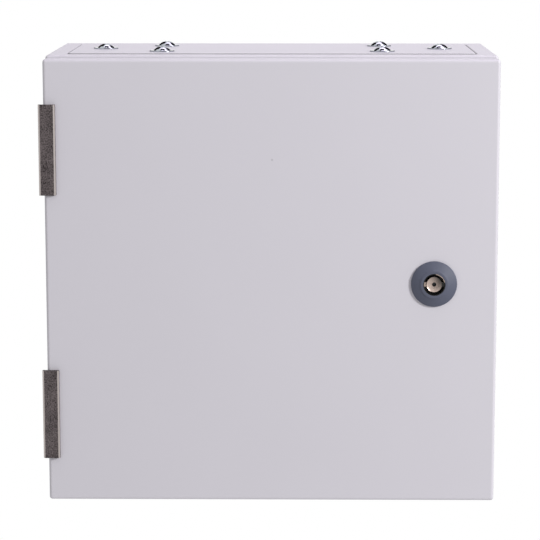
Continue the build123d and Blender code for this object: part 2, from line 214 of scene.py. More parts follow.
@dataclass(frozen=True)
class PowderCoat(Finish):
    """Polyester powder coat, light grey, baked on steel.

    The eye sees a soft semi-gloss with a shallow orange peel and a rare dust nib under the skin.
    """

    title: ClassVar[str] = "polyester_powder_coat"
    slot: ClassVar[Slot] = Slot.POWDER_COAT
    colour: str = "#CCC9D0"
    shade: str = "#C9C6CD"
    nib_colour: str = "#B4B1B7"
    roughness: tuple[float, float] = (0.36, 0.44)
    peel_size: float = 2.2 * MM
    peel_height: float = 0.006 * MM
    grain_size: float = 0.5 * MM
    grain_height: float = 0.0015 * MM
    cloud_size: float = 70 * MM
    nib_spacing: float = 42 * MM
    nib_radius: float = 0.95 * MM
    nib_share: float = 0.35
    nib_shift: tuple[float, float, float] = (34.4 * MM, 0.0, 204.1 * MM)

    def wire(self, node: AddNode, place: NodeSocket) -> dict[str, Any]:
        """Mix the clouding and nibs, and raise the peel.

        Args:
            node: Adds a node to the material's tree.
            place: Object coordinates in metres.

        Returns:
            What goes into the shader, by input.
        """
        cloud = node(NOISE, {"Vector": place, "Scale": 1 / self.cloud_size})
        feeds = {FACTOR: cloud, COLOUR_A: linear(self.colour), COLOUR_B: linear(self.shade)}
        tint = node(MIX, feeds, data_type="RGBA").outputs[COLOUR_OUT]
        moved = node("ShaderNodeVectorMath", [place, self.nib_shift], "SUBTRACT")
        cells = node("ShaderNodeTexVoronoi", {"Vector": moved, "Scale": 1 / self.nib_spacing})
        edge = self.nib_radius / self.nib_spacing
        dot = node(MAP, {"Value": cells, "From Min": edge, "From Max": edge / 2})
        pick = node("ShaderNodeSeparateColor", [cells.outputs["Color"]])
        rare = node(MATH, [pick, self.nib_share], "LESS_THAN")
        nib = node(MATH, [dot, rare], "MULTIPLY")
        feeds = {FACTOR: nib, COLOUR_A: tint, COLOUR_B: linear(self.nib_colour)}
        skin = node(MIX, feeds, data_type="RGBA").outputs[COLOUR_OUT]
        low, high = self.roughness
        gloss = node(MAP, {"Value": cloud, "To Min": low, "To Max": high})
        peel = node(NOISE, {"Vector": place, "Scale": 1 / self.peel_size})
        wave = node("ShaderNodeBump", {"Height": peel, "Distance": self.peel_height})
        grain = node(NOISE, {"Vector": place, "Scale": 1 / self.grain_size})
        feeds = {"Height": grain, "Distance": self.grain_height, "Normal": wave}
        relief = node("ShaderNodeBump", feeds)
        return {"Base Color": skin, "Roughness": gloss, "Normal": relief}


@dataclass(frozen=True)
class CloudedFinish(Finish):
    """A finish that clouds between two colours and two roughnesses, under a fine relief."""

    light: ClassVar[str]
    dark: ClassVar[str]
    roughness: ClassVar[tuple[float, float]]
    cloud_size: ClassVar[float]
    relief_size: ClassVar[float]
    relief_height: ClassVar[float]
    metallic: ClassVar[float] = 1.0

    def clouds(self, node: AddNode, place: NodeSocket) -> tuple[Any, Any]:
        """Make the pattern of the colour, from dark to light, and that of the roughness."""
        cloud = node(NOISE, {"Vector": place, "Scale": 1 / self.cloud_size})
        return cloud, cloud

    def wire(self, node: AddNode, place: NodeSocket) -> dict[str, Any]:
        """Cloud the colour and the gloss, and mark the surface.

        Args:
            node: Adds a node to the material's tree.
            place: Object coordinates in metres.

        Returns:
            What goes into the shader, by input.
        """
        tone, haze = self.clouds(node, place)
        feeds = {FACTOR: tone, COLOUR_A: linear(self.dark), COLOUR_B: linear(self.light)}
        tint = node(MIX, feeds, data_type="RGBA").outputs[COLOUR_OUT]
        first, last = self.roughness
        gloss = node(MAP, {"Value": haze, "To Min": first, "To Max": last})
        marks = node(NOISE, {"Vector": place, "Scale": 1 / self.relief_size})
        relief = node("ShaderNodeBump", {"Height": marks, "Distance": self.relief_height})
        return {"Base Color": tint, "Roughness": gloss, "Normal": relief, "Metallic": self.metallic}


@dataclass(frozen=True)
class PlatedMetal(CloudedFinish):
    """A plated metal with faint clouding and fine handling marks."""

    cloud_size = 2.0 * MM
    relief_size = 0.4 * MM
    relief_height = 0.002 * MM


@dataclass(frozen=True)
class BrightZinc(PlatedMetal):
    """Bright zinc plate on turned steel: a clear cold mirror with hardly any haze."""

    title = "bright_zinc_plated_steel"
    slot = Slot.ZINC_PLATE
    light = "#CDD1D7"
    dark = "#A9AEB4"
    roughness = (0.16, 0.08)


@dataclass(frozen=True)
class NickelPlate(PlatedMetal):
    """Nickel plate on a zinc die casting: a warm pinkish mirror, a little hazed where keys wear it.

    The mesh's own attribute paints shade on it: black in the key's well and on one bit, black over the lip
    save one arc left bare as a painted highlight, and darkening across the post's face.
    """

    title = "nickel_plated_zinc_casting"
    slot = Slot.NICKEL
    light = "#D6C4B9"
    dark = "#B09C92"
    roughness = (0.32, 0.22)
    cloud_size = 1.2 * MM
    # Attribute and colour of the painted shade that blackens the nickel where shade falls in the lock.
    painted_shade: ClassVar[str] = "painted_shade"
    painted_shade_colour: ClassVar[str] = "#0B0A0A"

    def wire(self, node: AddNode, place: NodeSocket) -> dict[str, Any]:
        """Blacken the plated metal where it is greased.

        Args:
            node: Adds a node to the material's tree.
            place: Object coordinates in metres.

        Returns:
            What goes into the shader, by input.
        """
        unshaded = super().wire(node, place)
        painted_shade_share = node("ShaderNodeAttribute", attribute_name=self.painted_shade).outputs["Fac"]
        feeds = {FACTOR: painted_shade_share, COLOUR_A: unshaded["Base Color"], COLOUR_B: linear(self.painted_shade_colour)}
        colour = node(MIX, feeds, data_type="RGBA").outputs[COLOUR_OUT]
        bare = node(MATH, [1.0, painted_shade_share], "SUBTRACT")
        return unshaded | {"Base Color": colour, "Metallic": bare}

    def spread(self, mesh: Mesh, middle: Vector, painted_shade_share: Callable[[float, float], float]) -> None:
        """Spread painted shade over a mesh.

        Args:
            mesh: Mesh to grease.
            middle: Middle of the lock.
            painted_shade_share: Gives the share of painted shade at a distance from the middle and an angle
                about it.
        """
        places = [point.co - middle for point in mesh.vertices]
        shares = [painted_shade_share(math.hypot(place.x, place.z), math.atan2(place.z, place.x)) for place in places]
        mesh.attributes.new(self.painted_shade, "FLOAT", "POINT").data.foreach_set("value", shares)


@dataclass(frozen=True)
class HingeMetal(Finish):
    """Tumbled zinc casting, dark and mottled, with its bevels made bright: partly worn bright, partly
    painted highlight.

    The face shows a salt-and-pepper grain about a millimetre across. The mesh's own attribute says where the
    bevels are worn and painted bright as a highlight.
    """

    title: ClassVar[str] = "tumbled_zinc_casting"
    slot: ClassVar[Slot] = Slot.HINGE_METAL
    wear_and_highlight_mask: ClassVar[str] = "wear_and_highlight_mask"
    light: str = "#877D7E"
    dark: str = "#0D090A"
    # Colour of the marked bevels: partly wear, partly painted highlight.
    bright: str = "#B0A8A5"
    grain_size: float = 0.9 * MM
    mottle_size: float = 6.0 * MM
    mottle_share: float = 0.3
    grain_range: tuple[float, float] = (0.4, 0.9)
    grain_height: float = 0.02 * MM
    roughness: tuple[float, float] = (0.5, 0.22)

    def wire(self, node: AddNode, place: NodeSocket) -> dict[str, Any]:
        """Grain the dull faces, and make the marked bevels bright and clear: partly wear, partly painted
        highlight.

        Args:
            node: Adds a node to the material's tree.
            place: Object coordinates in metres.

        Returns:
            What goes into the shader, by input.
        """
        grain = node(NOISE, {"Vector": place, "Scale": 1 / self.grain_size})
        mottle = node(NOISE, {"Vector": place, "Scale": 1 / self.mottle_size})
        blend = node(MATH, [mottle, self.mottle_share, grain], "MULTIPLY_ADD")
        low, high = self.grain_range
        spread = node(MAP, {"Value": blend, "From Min": low, "From Max": high})
        feeds = {FACTOR: spread, COLOUR_A: linear(self.dark), COLOUR_B: linear(self.light)}
        face = node(MIX, feeds, data_type="RGBA").outputs[COLOUR_OUT]
        # Painted highlight, partly wear: the marked bevels take the bright colour.
        wear_and_highlight = node("ShaderNodeAttribute", attribute_name=self.wear_and_highlight_mask).outputs["Fac"]
        feeds = {FACTOR: wear_and_highlight, COLOUR_A: face, COLOUR_B: linear(self.bright)}
        colour = node(MIX, feeds, data_type="RGBA").outputs[COLOUR_OUT]
        dull, clear = self.roughness
        gloss = node(MAP, {"Value": wear_and_highlight, "To Min": dull, "To Max": clear})
        keep = node(MATH, [1.0, wear_and_highlight], "SUBTRACT")
        feeds = {"Height": grain, "Distance": self.grain_height, "Strength": keep}
        relief = node("ShaderNodeBump", feeds)
        return {"Base Color": colour, "Roughness": gloss, "Normal": relief, "Metallic": 1.0}


@dataclass(frozen=True)
class GalvanisedSheet(CloudedFinish):
    """Hot-dip galvanised sheet: flat grey crystals, each with its own sheen."""

    title = "galvanised_steel_sheet"
    slot = Slot.GALVANISED
    light = "#BEC2C5"
    dark = "#A9AEB1"
    roughness = (0.38, 0.5)
    cloud_size = 7 * MM
    relief_size = 0.8 * MM
    relief_height = 0.004 * MM

    def clouds(self, node: AddNode, place: NodeSocket) -> tuple[Any, Any]:
        """Give each crystal its own grey and gloss.

        Args:
            node: Adds a node to the material's tree.
            place: Object coordinates in metres.

        Returns:
            Pattern of the colour and pattern of the roughness.
        """
        spangle = node("ShaderNodeTexVoronoi", {"Vector": place, "Scale": 1 / self.cloud_size})
        crystal = node("ShaderNodeSeparateColor", [spangle.outputs["Color"]]).outputs
        return crystal[0], crystal[1]


@dataclass(frozen=True)
class MouldedFinish(CloudedFinish):
    """A moulded polymer with an even gloss, a nearly even colour and a fine surface relief."""

    cloud_size = 6 * MM
    relief_size = 0.3 * MM
    relief_height = 0.01 * MM
    metallic = 0.0


@dataclass(frozen=True)
class LockNylon(MouldedFinish):
    """Glass-filled nylon from a spark-eroded mould: blue-grey with a dull satin skin."""

    title = "glass_filled_nylon"
    slot = Slot.LOCK_PLASTIC
    light = "#505465"
    dark = "#494C5C"
    roughness = (0.6, 0.6)
    relief_height = 0.006 * MM


@dataclass(frozen=True)
class FoamSeal(MouldedFinish):
    """Polyurethane foam poured as a bead: near black, dry, with open pores."""

    title = "poured_polyurethane_foam"
    slot = Slot.FOAM_SEAL
    light = "#3B3B3D"
    dark = "#2B2B2D"
    roughness = (0.85, 0.85)
    relief_size = 0.9 * MM
    relief_height = 0.2 * MM


@dataclass(frozen=True)
class SealRubber(MouldedFinish):
    """Black ethylene-propylene rubber, moulded and slightly dusty."""

    title = "moulded_seal_rubber"
    slot = Slot.RUBBER_SEAL
    light = "#2C2C2E"
    dark = "#202022"
    roughness = (0.6, 0.6)


def plain_mesh(source: Object, name: str) -> Mesh:
    """Turn an object with a modifier into a plain mesh, and remove the object.

    Args:
        source: Object whose evaluated shape is wanted.
        name: Name of the new mesh.

    Returns:
        The mesh.
    """
    evaluated = source.evaluated_get(bpy.context.evaluated_depsgraph_get())
    mesh = bpy.data.meshes.new_from_object(evaluated)
    mesh.name = name
    source.modifiers.clear()
    old = source.data
    bpy.data.objects.remove(source)
    bpy.data.meshes.remove(old)
    return mesh


def shade(mesh: Mesh) -> None:
    """Shade a mesh smooth between its sharp edges."""
    mesh.shade_smooth()
    mesh.set_sharp_from_angle(angle=SHARP_ANGLE)


def softened(node: str, edge: float) -> Mesh:
    """Copy a CAD node's mesh and round its sharp edges.

    Args:
        node: CAD node to copy.
        edge: Width of the rounding.

    Returns:
        The rounded mesh.
    """
    work = bmesh.new()
    work.from_mesh(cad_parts[node].data)
    bmesh.ops.remove_doubles(work, verts=work.verts, dist=MERGE_GAP)
    bmesh.ops.dissolve_limit(work, angle_limit=FLAT_ANGLE, verts=work.verts, edges=work.edges)
    mesh = bpy.data.meshes.new(node)
    work.to_mesh(mesh)
    work.free()
    shade(mesh)
    name = node + "_rounded"
    blank = new_object(name, mesh)
    rounding = blank.modifiers.new("rounding", "BEVEL")
    rounding.width = edge
    rounding.segments = EDGE_SEGMENTS
    rounding.limit_method = "ANGLE"
    rounding.angle_limit = SHARP_ANGLE
    rounding.harden_normals = True
    return plain_mesh(blank, name)


@dataclass(frozen=True)
class StampedPart:
    """A small part that a node tree shapes along +Z and stamps at every point of a mesh."""

    title: ClassVar[str]

    def sizes(self) -> dict[str, float]:
        """Name the tree's size inputs and give their values."""
        raise NotImplementedError

    def shape(self, node: AddNode, sizes: Any) -> Node:
        """Make the nodes of the shape from the sockets of the sizes, and give the last one."""
        raise NotImplementedError

    def tree(self) -> NodeTree:
        """Make the node tree.

        Returns:
            The tree.
        """
        tree = bpy.data.node_groups.new(self.title, "GeometryNodeTree")
        kinds = {"Points": "Geometry"} | dict.fromkeys(self.sizes(), "Float")
        for name, kind in (kinds | {"Turn": "Vector", "Finish": "Material"}).items():
            tree.interface.new_socket(name, in_out="INPUT", socket_type="NodeSocket" + kind)
        tree.interface.new_socket("Geometry", in_out="OUTPUT", socket_type="NodeSocketGeometry")
        node = partial(add_node, tree)
        inputs = node("NodeGroupInput").outputs
        feeds = {
            "Points": inputs["Points"],
            "Instance": self.shape(node, inputs),
            "Rotation": inputs["Turn"],
        }
        copies = node("GeometryNodeInstanceOnPoints", feeds)
        real = node("GeometryNodeRealizeInstances", [copies])
        coated = node("GeometryNodeSetMaterial", {"Geometry": real, "Material": inputs["Finish"]})
        node("NodeGroupOutput", [coated])
        return tree

    def grow(self, name: str, spots: list[Vector], stand: Stand, finish: Finish) -> Mesh:
        """Make the plain closed mesh of a row of copies.

        Args:
            name: Name of the new mesh.
            spots: Where each copy stands.
            stand: Which way the copies stand.
            finish: Finish of the copies.

        Returns:
            The mesh.
        """
        points = bpy.data.meshes.new(name + "_points")
        points.from_pydata(spots, [], [])
        seed = new_object(name, points)
        modifier = seed.modifiers.new("shape", "NODES")
        modifier.node_group = self.tree()
        values = self.sizes() | {"Turn": stand.value, "Finish": finish.material()}
        for item in modifier.node_group.interface.items_tree:
            if item.name in values:
                modifier[item.identifier] = values[item.name]
        mesh = plain_mesh(seed, name)
        work = bmesh.new()
        work.from_mesh(mesh)
        bmesh.ops.remove_doubles(work, verts=work.verts, dist=MERGE_GAP)
        bmesh.ops.recalc_face_normals(work, faces=work.faces)
        work.to_mesh(mesh)
        work.free()
        shade(mesh)
        return mesh


@dataclass(frozen=True)
class RingKit:
    """What the nodes of a ring part's section are made from.

    It holds the function that adds a node, the sockets of the part's sizes in their order, the angle
    of each point about the axis, and the place of each row along the section, from 0 to 1.
    """

    node: AddNode
    sizes: list[NodeSocket]
    angle: Node
    share: Node


@dataclass(frozen=True)
class RingPart(StampedPart):
    """A part of rings about its axis: a grid whose columns run round and whose rows follow a section."""

    columns: ClassVar[int] = 64

    def rows(self) -> int:
        """Give the number of rings along the section."""
        raise NotImplementedError

    def section(self, kit: RingKit) -> tuple[Any, Any]:
        """Make the radius and the height, each as a node or as a list with a value for every row."""
        raise NotImplementedError

    def shape(self, node: AddNode, sizes: Any) -> Node:
        """Wrap a grid about the axis.

        Args:
            node: Adds a node to the tree.
            sizes: Sockets of the size inputs, by name.

        Returns:
            Node that gives the shape.
        """
        feeds = {"Size X": 1.0, "Size Y": 1.0, "Vertices X": self.columns + 1, "Vertices Y": self.rows()}
        grid = node("GeometryNodeMeshGrid", feeds)
        place = node("ShaderNodeSeparateXYZ", [node("GeometryNodeInputPosition")]).outputs
        angle = node(MATH, [place["X"], TURN, TURN / 2], "MULTIPLY_ADD")
        share = node(MATH, [place["Y"], 0.5], "ADD")
        last = self.rows() - 1.0
        row = node(MATH, [share, last, 0.5], "MULTIPLY_ADD")
        row = node(MATH, [row], "FLOOR")
        kit = RingKit(node, [sizes[name] for name in self.sizes()], angle, share)
        radius, height = (
            node("GeometryNodeIndexSwitch", [row, *value], places=len(value), data_type="FLOAT")
            if isinstance(value, list)
            else value
            for value in self.section(kit)
        )
        turn_x = node(MATH, [angle], "COSINE")
        turn_y = node(MATH, [angle], "SINE")
        across = node(MATH, [turn_x, radius], "MULTIPLY")
        along = node(MATH, [turn_y, radius], "MULTIPLY")
        spot = node("ShaderNodeCombineXYZ", [across, along, height])
        bent = node("GeometryNodeSetPosition", {"Geometry": grid, "Position": spot})
        return node("GeometryNodeMergeByDistance", {"Geometry": bent, "Distance": MERGE_GAP})


@dataclass(frozen=True)
class TurnedRing(RingPart):
    """A ring turned to a section of points that runs from its bore over its face to its foot."""

    def points(self) -> list[tuple[float, float]]:
        """List the radius and height of every point."""
        raise NotImplementedError

    def rows(self) -> int:
        """Give the number of rings along the section."""
        return len(self.points())

    def sizes(self) -> dict[str, float]:
        """Name the tree's size inputs and give their values."""
        sizes = {}
        for number, (radius, height) in enumerate(self.points(), 1):
            sizes |= {f"Radius {number}": radius, f"Height {number}": height}
        return sizes

    def section(self, kit: RingKit) -> tuple[Any, Any]:
        """Part the radii from the heights."""
        return kit.sizes[::2], kit.sizes[1::2]


@dataclass(frozen=True)
class Washer(TurnedRing):
    """A flat ring with broken edges."""

    title: ClassVar[str] = "flat_ring"
    bore: float
    radius: float
    thickness: float
    edge: float = 0.2 * MM

    def points(self) -> list[tuple[float, float]]:
        """List the radius and height of every point."""
        flat, top = self.radius - self.edge, self.thickness
        face = [(self.bore, 0.0), (self.bore, top), (flat, top), (self.radius, top - self.edge)]
        return face + [(self.radius, self.edge), (flat, 0.0), (self.bore, 0.0)]


@dataclass(frozen=True)
class DishedRing(TurnedRing):
    """A ring whose face sinks from a crest to a floor round its bore."""

    title: ClassVar[str] = "dished_ring"
    columns: ClassVar[int] = 96
    bore: float
    floor: float
    crest: float
    radius: float
    dip: float
    rise: float

    def points(self) -> list[tuple[float, float]]:
        """List the radius and height of every point."""
        dish = [(self.bore, 0.0), (self.bore, self.dip), (self.floor, self.dip), (self.crest, self.rise)]
        return dish + [(self.radius, 0.0), (self.bore, 0.0)]


@dataclass(frozen=True)
class Collar(TurnedRing):
    """A shallow cone that falls to an upright rim."""

    title: ClassVar[str] = "conical_collar"
    columns: ClassVar[int] = 128
    bore: float
    radius: float
    height: float
    rim_height: float
    bevel: float

    def points(self) -> list[tuple[float, float]]:
        """List the radius and height of every point."""
        foot = (self.radius - self.bevel, self.rim_height + self.bevel)
        cone = [(self.bore, 0.0), (self.bore, self.height), foot]
        return cone + [(self.radius, self.rim_height), (self.radius, 0.0), (self.bore, 0.0)]


@dataclass(frozen=True)
class HexNut(RingPart):
    """A hexagon nut on a flange, or bevelled at its foot too where it has none."""

    title: ClassVar[str] = "hexagon_nut"
    columns: ClassVar[int] = 72
    side_turn: ClassVar[float] = TURN / 6
    bevel_slope: ClassVar[float] = math.tan(math.radians(30))
    flats: float = 10 * MM
    height: float = 5 * MM
    bore: float = 3.0 * MM
    flange_radius: float = 7 * MM
    flange_height: float = 1.2 * MM
    mouth: float = 0.3 * MM
    face_share: float = 0.95
    rim_share: float = 0.5

    def rows(self) -> int:
        """Give the number of rings along the section."""
        return 10

    def sizes(self) -> dict[str, float]:
        """Name the tree's size inputs and give their values."""
        face = self.flats / 2 * self.face_share
        return {
            "Bore radius": self.bore,
            "Mouth radius": self.bore + self.mouth,
            "Half flats": self.flats / 2,
            "Face radius": face,
            "Height": self.height,
            "Mouth depth": self.mouth,
            "Inner mouth": self.height - self.mouth,
            "Flange radius": self.flange_radius if self.flange_height else face,
            "Flange height": self.flange_height,
            "Flange edge": self.flange_height * self.rim_share,
        }

    def section(self, kit: RingKit) -> tuple[Any, Any]:
        """List the rings from the bore over the bevelled top to the foot.

        Args:
            kit: What the nodes are made from.

        Returns:
            Radius and height of every row.
        """
        node = kit.node
        bore, mouth, flats, face, top, deep, inner, flange, shoulder, rim = kit.sizes
        corner = node(MATH, [kit.angle, self.side_turn], "MODULO")
        middle = node(MATH, [corner, self.side_turn / 2], "SUBTRACT")
        lean = node(MATH, [middle], "COSINE")
        side = node(MATH, [flats, lean], "DIVIDE")
        proud = node(MATH, [side, face], "SUBTRACT")
        drop = node(MATH, [proud, self.bevel_slope], "MULTIPLY")
        upper = node(MATH, [top, drop], "SUBTRACT")
        lower = node(MATH, [shoulder, drop], "MAXIMUM")
        radii = [mouth, bore, bore, mouth, face, side, side, flange, flange, mouth]
        return radii, [0.0, deep, inner, top, top, upper, lower, rim, 0.0, 0.0]


@dataclass(frozen=True)
class ThreadedRod(RingPart):
    """A rod with a rolled thread over its whole length and bevelled ends."""

    title: ClassVar[str] = "threaded_rod"
    columns: ClassVar[int] = 20
    rows_per_pitch: ClassVar[int] = 6
    length: float
    radius: float = 2.95 * MM
    pitch: float = 1.0 * MM
    depth: float = 0.5 * MM
    end_bevel: float = 0.8 * MM

    def rows(self) -> int:
        """Give the number of rings along the section."""
        return round(self.length / self.pitch * self.rows_per_pitch)

    def sizes(self) -> dict[str, float]:
        """Name the tree's size inputs and give their values."""
        return {
            "Length": self.length,
            "Radius": self.radius,
            "Pitch": self.pitch,
            "Double depth": self.depth * 2,
            "End radius": self.radius - self.end_bevel,
        }

    def section(self, kit: RingKit) -> tuple[Any, Any]:
        """Cut a helical groove into the rod, and close its ends.

        Args:
            kit: What the nodes are made from.

        Returns:
            Radius and height as nodes.
        """
        node = kit.node
        length, radius, pitch, depth, end = kit.sizes
        height = node(MATH, [kit.share, length], "MULTIPLY")
        turns = node(MATH, [kit.angle, TURN], "DIVIDE")
        pitches = node(MATH, [height, pitch], "DIVIDE")
        phase = node(MATH, [pitches, turns], "SUBTRACT")
        wave = node(MATH, [phase, 0.5], "PINGPONG")
        groove = node(MATH, [wave, depth], "MULTIPLY")
        rod = node(MATH, [radius, groove], "SUBTRACT")
        rest = node(MATH, [length, height], "SUBTRACT")
        inset = node(MATH, [height, rest], "MINIMUM")
        bevel = node(MATH, [end, inset], "ADD")
        limited = node(MATH, [rod, bevel], "MINIMUM")
        inside = node(MATH, [inset, MERGE_GAP], "GREATER_THAN")
        return node(MATH, [limited, inside], "MULTIPLY"), height


@dataclass(frozen=True)
class DomeHead(RingPart):
    """A domed screw head with a cross recess."""

    title: ClassVar[str] = "cross_dome"
    columns: ClassVar[int] = 96
    crown_rows: ClassVar[int] = 33
    radius: float = 5.8 * MM
    height: float = 2.8 * MM
    span: float = 5.0 * MM
    width: float = 1.1 * MM
    wall: float = 0.35 * MM
    depth: float = 1.5 * MM

    def rows(self) -> int:
        """Give the number of rings along the section, the last of which closes the foot."""
        return self.crown_rows + 1

    def sizes(self) -> dict[str, float]:
        """Name the tree's size inputs and give their values."""
        ball = (self.radius**2 + self.height**2) / (2 * self.height)
        return {
            "Head radius": self.radius,
            "Ball radius": ball,
            "Ball depth": ball - self.height,
            "Half span": self.span / 2,
            "Half width": self.width / 2,
            "Wall": self.wall,
            "Recess depth": self.depth,
        }

    def section(self, kit: RingKit) -> tuple[Any, Any]:
        """Follow a ball outwards from the crown, and sink the cross into it.

        Args:
            kit: What the nodes are made from.

        Returns:
            Radius and height as nodes.
        """
        node = kit.node
        head, ball, sunk, span, width, wall, depth = kit.sizes
        stretch = self.crown_rows / (self.crown_rows - 1)
        out = node(MATH, [kit.share, stretch], "MULTIPLY")
        on_crown = node(MATH, [out, 1 + (stretch - 1) / 2], "LESS_THAN")
        reach = node(MATH, [out, head], "MULTIPLY")
        radius = node(MATH, [reach, on_crown], "MULTIPLY")
        sides = []
        for turn in ("COSINE", "SINE"):
            part = node(MATH, [kit.angle], turn)
            along = node(MATH, [radius, part], "MULTIPLY")
            sides.append(node(MATH, [along], "ABSOLUTE"))
        sunken = depth
        for pick, limit in (("MINIMUM", width), ("MAXIMUM", span)):
            side = node(MATH, sides, pick)
            outer = node(MATH, [limit, wall], "ADD")
            feeds = {"Value": side, "From Min": outer, "From Max": limit}
            slope = node(MAP, feeds, interpolation_type="SMOOTHSTEP")
            sunken = node(MATH, [sunken, slope], "MULTIPLY")
        ball_square = node(MATH, [ball, 2.0], "POWER")
        radius_square = node(MATH, [radius, 2.0], "POWER")
        chord_square = node(MATH, [ball_square, radius_square], "SUBTRACT")
        chord = node(MATH, [chord_square], "SQRT")
        crown = node(MATH, [chord, sunk], "SUBTRACT")
        carved = node(MATH, [crown, sunken], "SUBTRACT")
        return radius, node(MATH, [carved, on_crown], "MULTIPLY")


@dataclass(frozen=True)
class PouredBead(StampedPart):
    """A foam bead poured along a rounded rectangle."""

    title: ClassVar[str] = "poured_bead"
    corner_steps: ClassVar[int] = 8
    profile_points: ClassVar[int] = 17
    fullness: ClassVar[float] = 0.45
    width: float
    height: float
    corner: float
    bead_width: float
    bead_height: float

    def sizes(self) -> dict[str, float]:
        """Name the tree's size inputs and give their values."""
        return {
            "Width": self.width,
            "Height": self.height,
            "Corner radius": self.corner,
            "Half bead": self.bead_width / 2,
            "Bead height": self.bead_height,
        }

    def shape(self, node: AddNode, sizes: Any) -> Node:
        """Sweep a swollen profile along the path.

        A profile above its path is swept towards -Z, so it is drawn below it.

        Args:
            node: Adds a node to the tree.
            sizes: Sockets of the size inputs, by name.

        Returns:
            Node that gives the shape.
        """
        feeds = {"Width": sizes["Width"], "Height": sizes["Height"]}
        outline = node("GeometryNodeCurvePrimitiveQuadrilateral", feeds)
        feeds = {"Curve": outline, "Radius": sizes["Corner radius"], "Count": self.corner_steps}
        path = node("GeometryNodeFilletCurve", feeds, mode="POLY")
        level = node("GeometryNodeSetCurveNormal", {"Curve": path}, mode="Z_UP")
        line = node("GeometryNodeCurvePrimitiveLine")
        dots = node("GeometryNodeResampleCurve", {"Curve": line, "Count": self.profile_points})
        share = node("GeometryNodeSplineParameter")
        angle = node(MATH, [share, TURN / 2], "MULTIPLY")
        swing = node(MATH, [angle], "COSINE")
        across = node(MATH, [swing, sizes["Half bead"]], "MULTIPLY")
        lift = node(MATH, [angle], "SINE")
        positive = node(MATH, [lift, 0.0], "MAXIMUM")
        full = node(MATH, [positive, self.fullness], "POWER")
        raised = node(MATH, [full, sizes["Bead height"]], "MULTIPLY")
        down = node(MATH, [0.0, raised], "SUBTRACT")
        spot = node("ShaderNodeCombineXYZ", [across, down])
        profile = node("GeometryNodeSetPosition", {"Geometry": dots, "Position": spot})
        ring = node("GeometryNodeSetSplineCyclic", {"Geometry": profile, "Cyclic": True})
        return node("GeometryNodeCurveToMesh", {"Curve": level, "Profile Curve": ring})


@dataclass
class Assembly:
    """A sub-assembly that shapes its own pieces and dresses its own nodes."""

    body: Body
    pieces: list[Object] = field(default_factory=list, init=False)

    def build(self) -> None:
        """Make the pieces that stand for nodes."""
        raise NotImplementedError

    def dress(self) -> None:
        """Give the nodes that stay their finishes: none, unless the sub-assembly names some."""

    def add(self, mesh: Mesh, finish: Finish, *nodes: str) -> None:
        """Make a mesh a piece that stands for nodes.

        Args:
            mesh: The piece's mesh, in place.
            finish: Its finish.
            nodes: Nodes that it stands for.
        """
        piece = new_object(mesh.name, mesh)
        mesh.materials.clear()
        mesh.materials.append(finish.material())
        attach(piece, self.body.value)
        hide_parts(*nodes)
        self.pieces.append(piece)

    def stamp(self, part: StampedPart, node: str, spots: list[Vector], stand: Stand, finish: Finish) -> None:
        """Stand copies of a stamped part in for a node."""
        self.add(part.grow(f"{node}_{part.title}", spots, stand, finish), finish, node)

    def soften(self, finish: Finish, edge: float, *nodes: str) -> None:
        """Stand copies with edges rounded to a width in for nodes."""
        for node in nodes:
            self.add(softened(node, edge), finish, node)

    def coat(self, finish: Finish, *nodes: str) -> None:
        """Give nodes a finish.

        Args:
            finish: The finish.
            nodes: Nodes to coat.
        """
        for node in nodes:
            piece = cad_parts[node]
            for holder in piece.material_slots:
                holder.material = finish.material()
            self.pieces.append(piece)


@dataclass
class SheetBox(Assembly):
    """The folded cabinet body with its gland plate and the seal that is squeezed out round it."""

    plate_edge: float = 0.15 * MM
    seal_edge: float = 0.2 * MM
    plate_gap: float = 1.0 * MM
    plate_corner: float = 2.0 * MM
    bead_width: float = 0.8 * MM
    bead_depth: float = 0.6 * MM
    bead_rise: float = 0.13 * MM

    def build(self) -> None:
        """Round the gland plate and its seal, and squeeze the seal out into the gap round the plate."""
        self.soften(PowderCoat(), self.plate_edge, "gland_plate")
        self.soften(SealRubber(), self.seal_edge, "gland_gasket")
        low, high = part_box("gland_plate")
        size, foot = high - low, (low + high) / 2
        foot.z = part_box("enclosure_shell")[1].z - self.bead_depth
        path = (size.x + self.plate_gap, size.y + self.plate_gap, self.plate_corner + self.plate_gap / 2)
        bead = PouredBead(*path, self.bead_width, self.bead_depth + self.bead_rise)
        self.stamp(bead, "gland_gasket", [foot], Stand.UP, SealRubber())

    def dress(self) -> None:
        """Coat the body."""
        self.coat(PowderCoat(), "enclosure_shell")


@dataclass
class GlandFasteners(Assembly):
    """The six dome-head screws of the gland plate, with their washers and clinch nuts."""

    end_inset: float = 21 * MM
    pair_inset: float = 61.5 * MM
    washer_bore: float = 3.2 * MM
    washer_radius: float = 8.5 * MM

    def spots(self, height: float) -> list[Vector]:
        """Work out the six screw places.

        Args:
            height: Height that the screws stand at.

        Returns:
            The places.
        """
        low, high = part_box("gland_plate")
        middle, half = (low + high) / 2, (high - low) / 2
        shifts = [(side * (half.x - self.end_inset), 0.0) for side in (-1, 1)]
        pair_x, pair_y = half.x - self.pair_inset, half.y - self.end_inset
        shifts += [(sx * pair_x, sy * pair_y) for sx in (-1, 1) for sy in (-1, 1)]
        return [Vector((middle.x + x, middle.y + y, height)) for x, y in shifts]

    def build(self) -> None:
        """Make the screws and washers."""
        foot, seat = (corner.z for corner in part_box("gland_washers"))
        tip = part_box("gland_screws")[0].z
        washer = Washer(self.washer_bore, self.washer_radius, seat - foot)
        self.stamp(washer, "gland_washers", self.spots(foot), Stand.UP, BrightZinc())
        self.stamp(DomeHead(), "gland_screws", self.spots(seat), Stand.UP, BrightZinc())
        self.stamp(ThreadedRod(seat - tip), "gland_screws", self.spots(tip), Stand.UP, BrightZinc())

    def dress(self) -> None:
        """Plate the clinch nuts."""
        self.coat(BrightZinc(), "gland_clinch_nuts")


